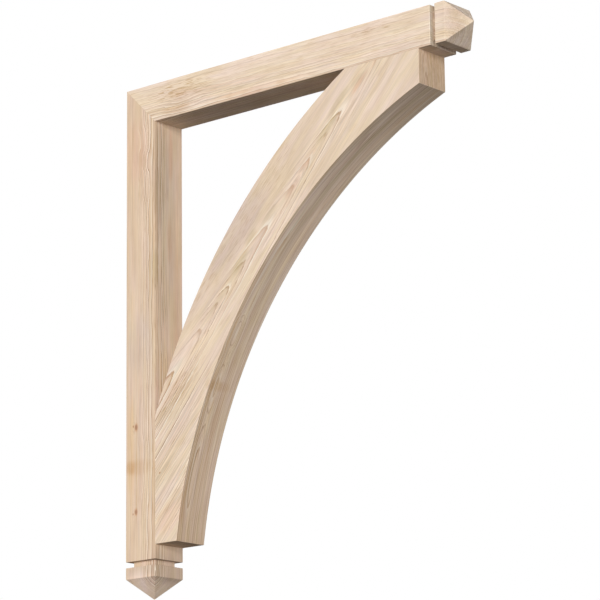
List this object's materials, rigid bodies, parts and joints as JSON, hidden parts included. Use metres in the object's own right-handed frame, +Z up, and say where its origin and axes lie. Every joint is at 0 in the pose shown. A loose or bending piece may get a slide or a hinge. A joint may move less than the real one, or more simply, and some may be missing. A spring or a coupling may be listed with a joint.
{
  "type": "wooden corbel bracket",
  "caption": "Timber eaves bracket: a wall post and a mitred arm with grooved and pointed ends, joined by a curved brace.",
  "frame": {"origin": "centre of the wall post's flat back, on the face that is fixed to the wall", "axes": "+X runs out from the wall along the top arm, +Y across the bracket, +Z up the wall post"},
  "size_m": [0.9652, 0.0888, 1.1684],
  "materials": {
    "post_timber": "planed and sanded bare softwood, pale cream to tan, its grain upright, with a few small brown knots",
    "arm_timber": "planed and sanded bare softwood, pale cream to pinkish tan, its grain along the arm",
    "brace_timber": "planed and sanded bare softwood, pale pinkish cream with brown flame figure, its grain along the brace"
  },
  "bodies": {
    "root": {"wall_post": "post_timber", "top_arm": "arm_timber", "curved_brace": "brace_timber"}
  },
  "joints": []
}
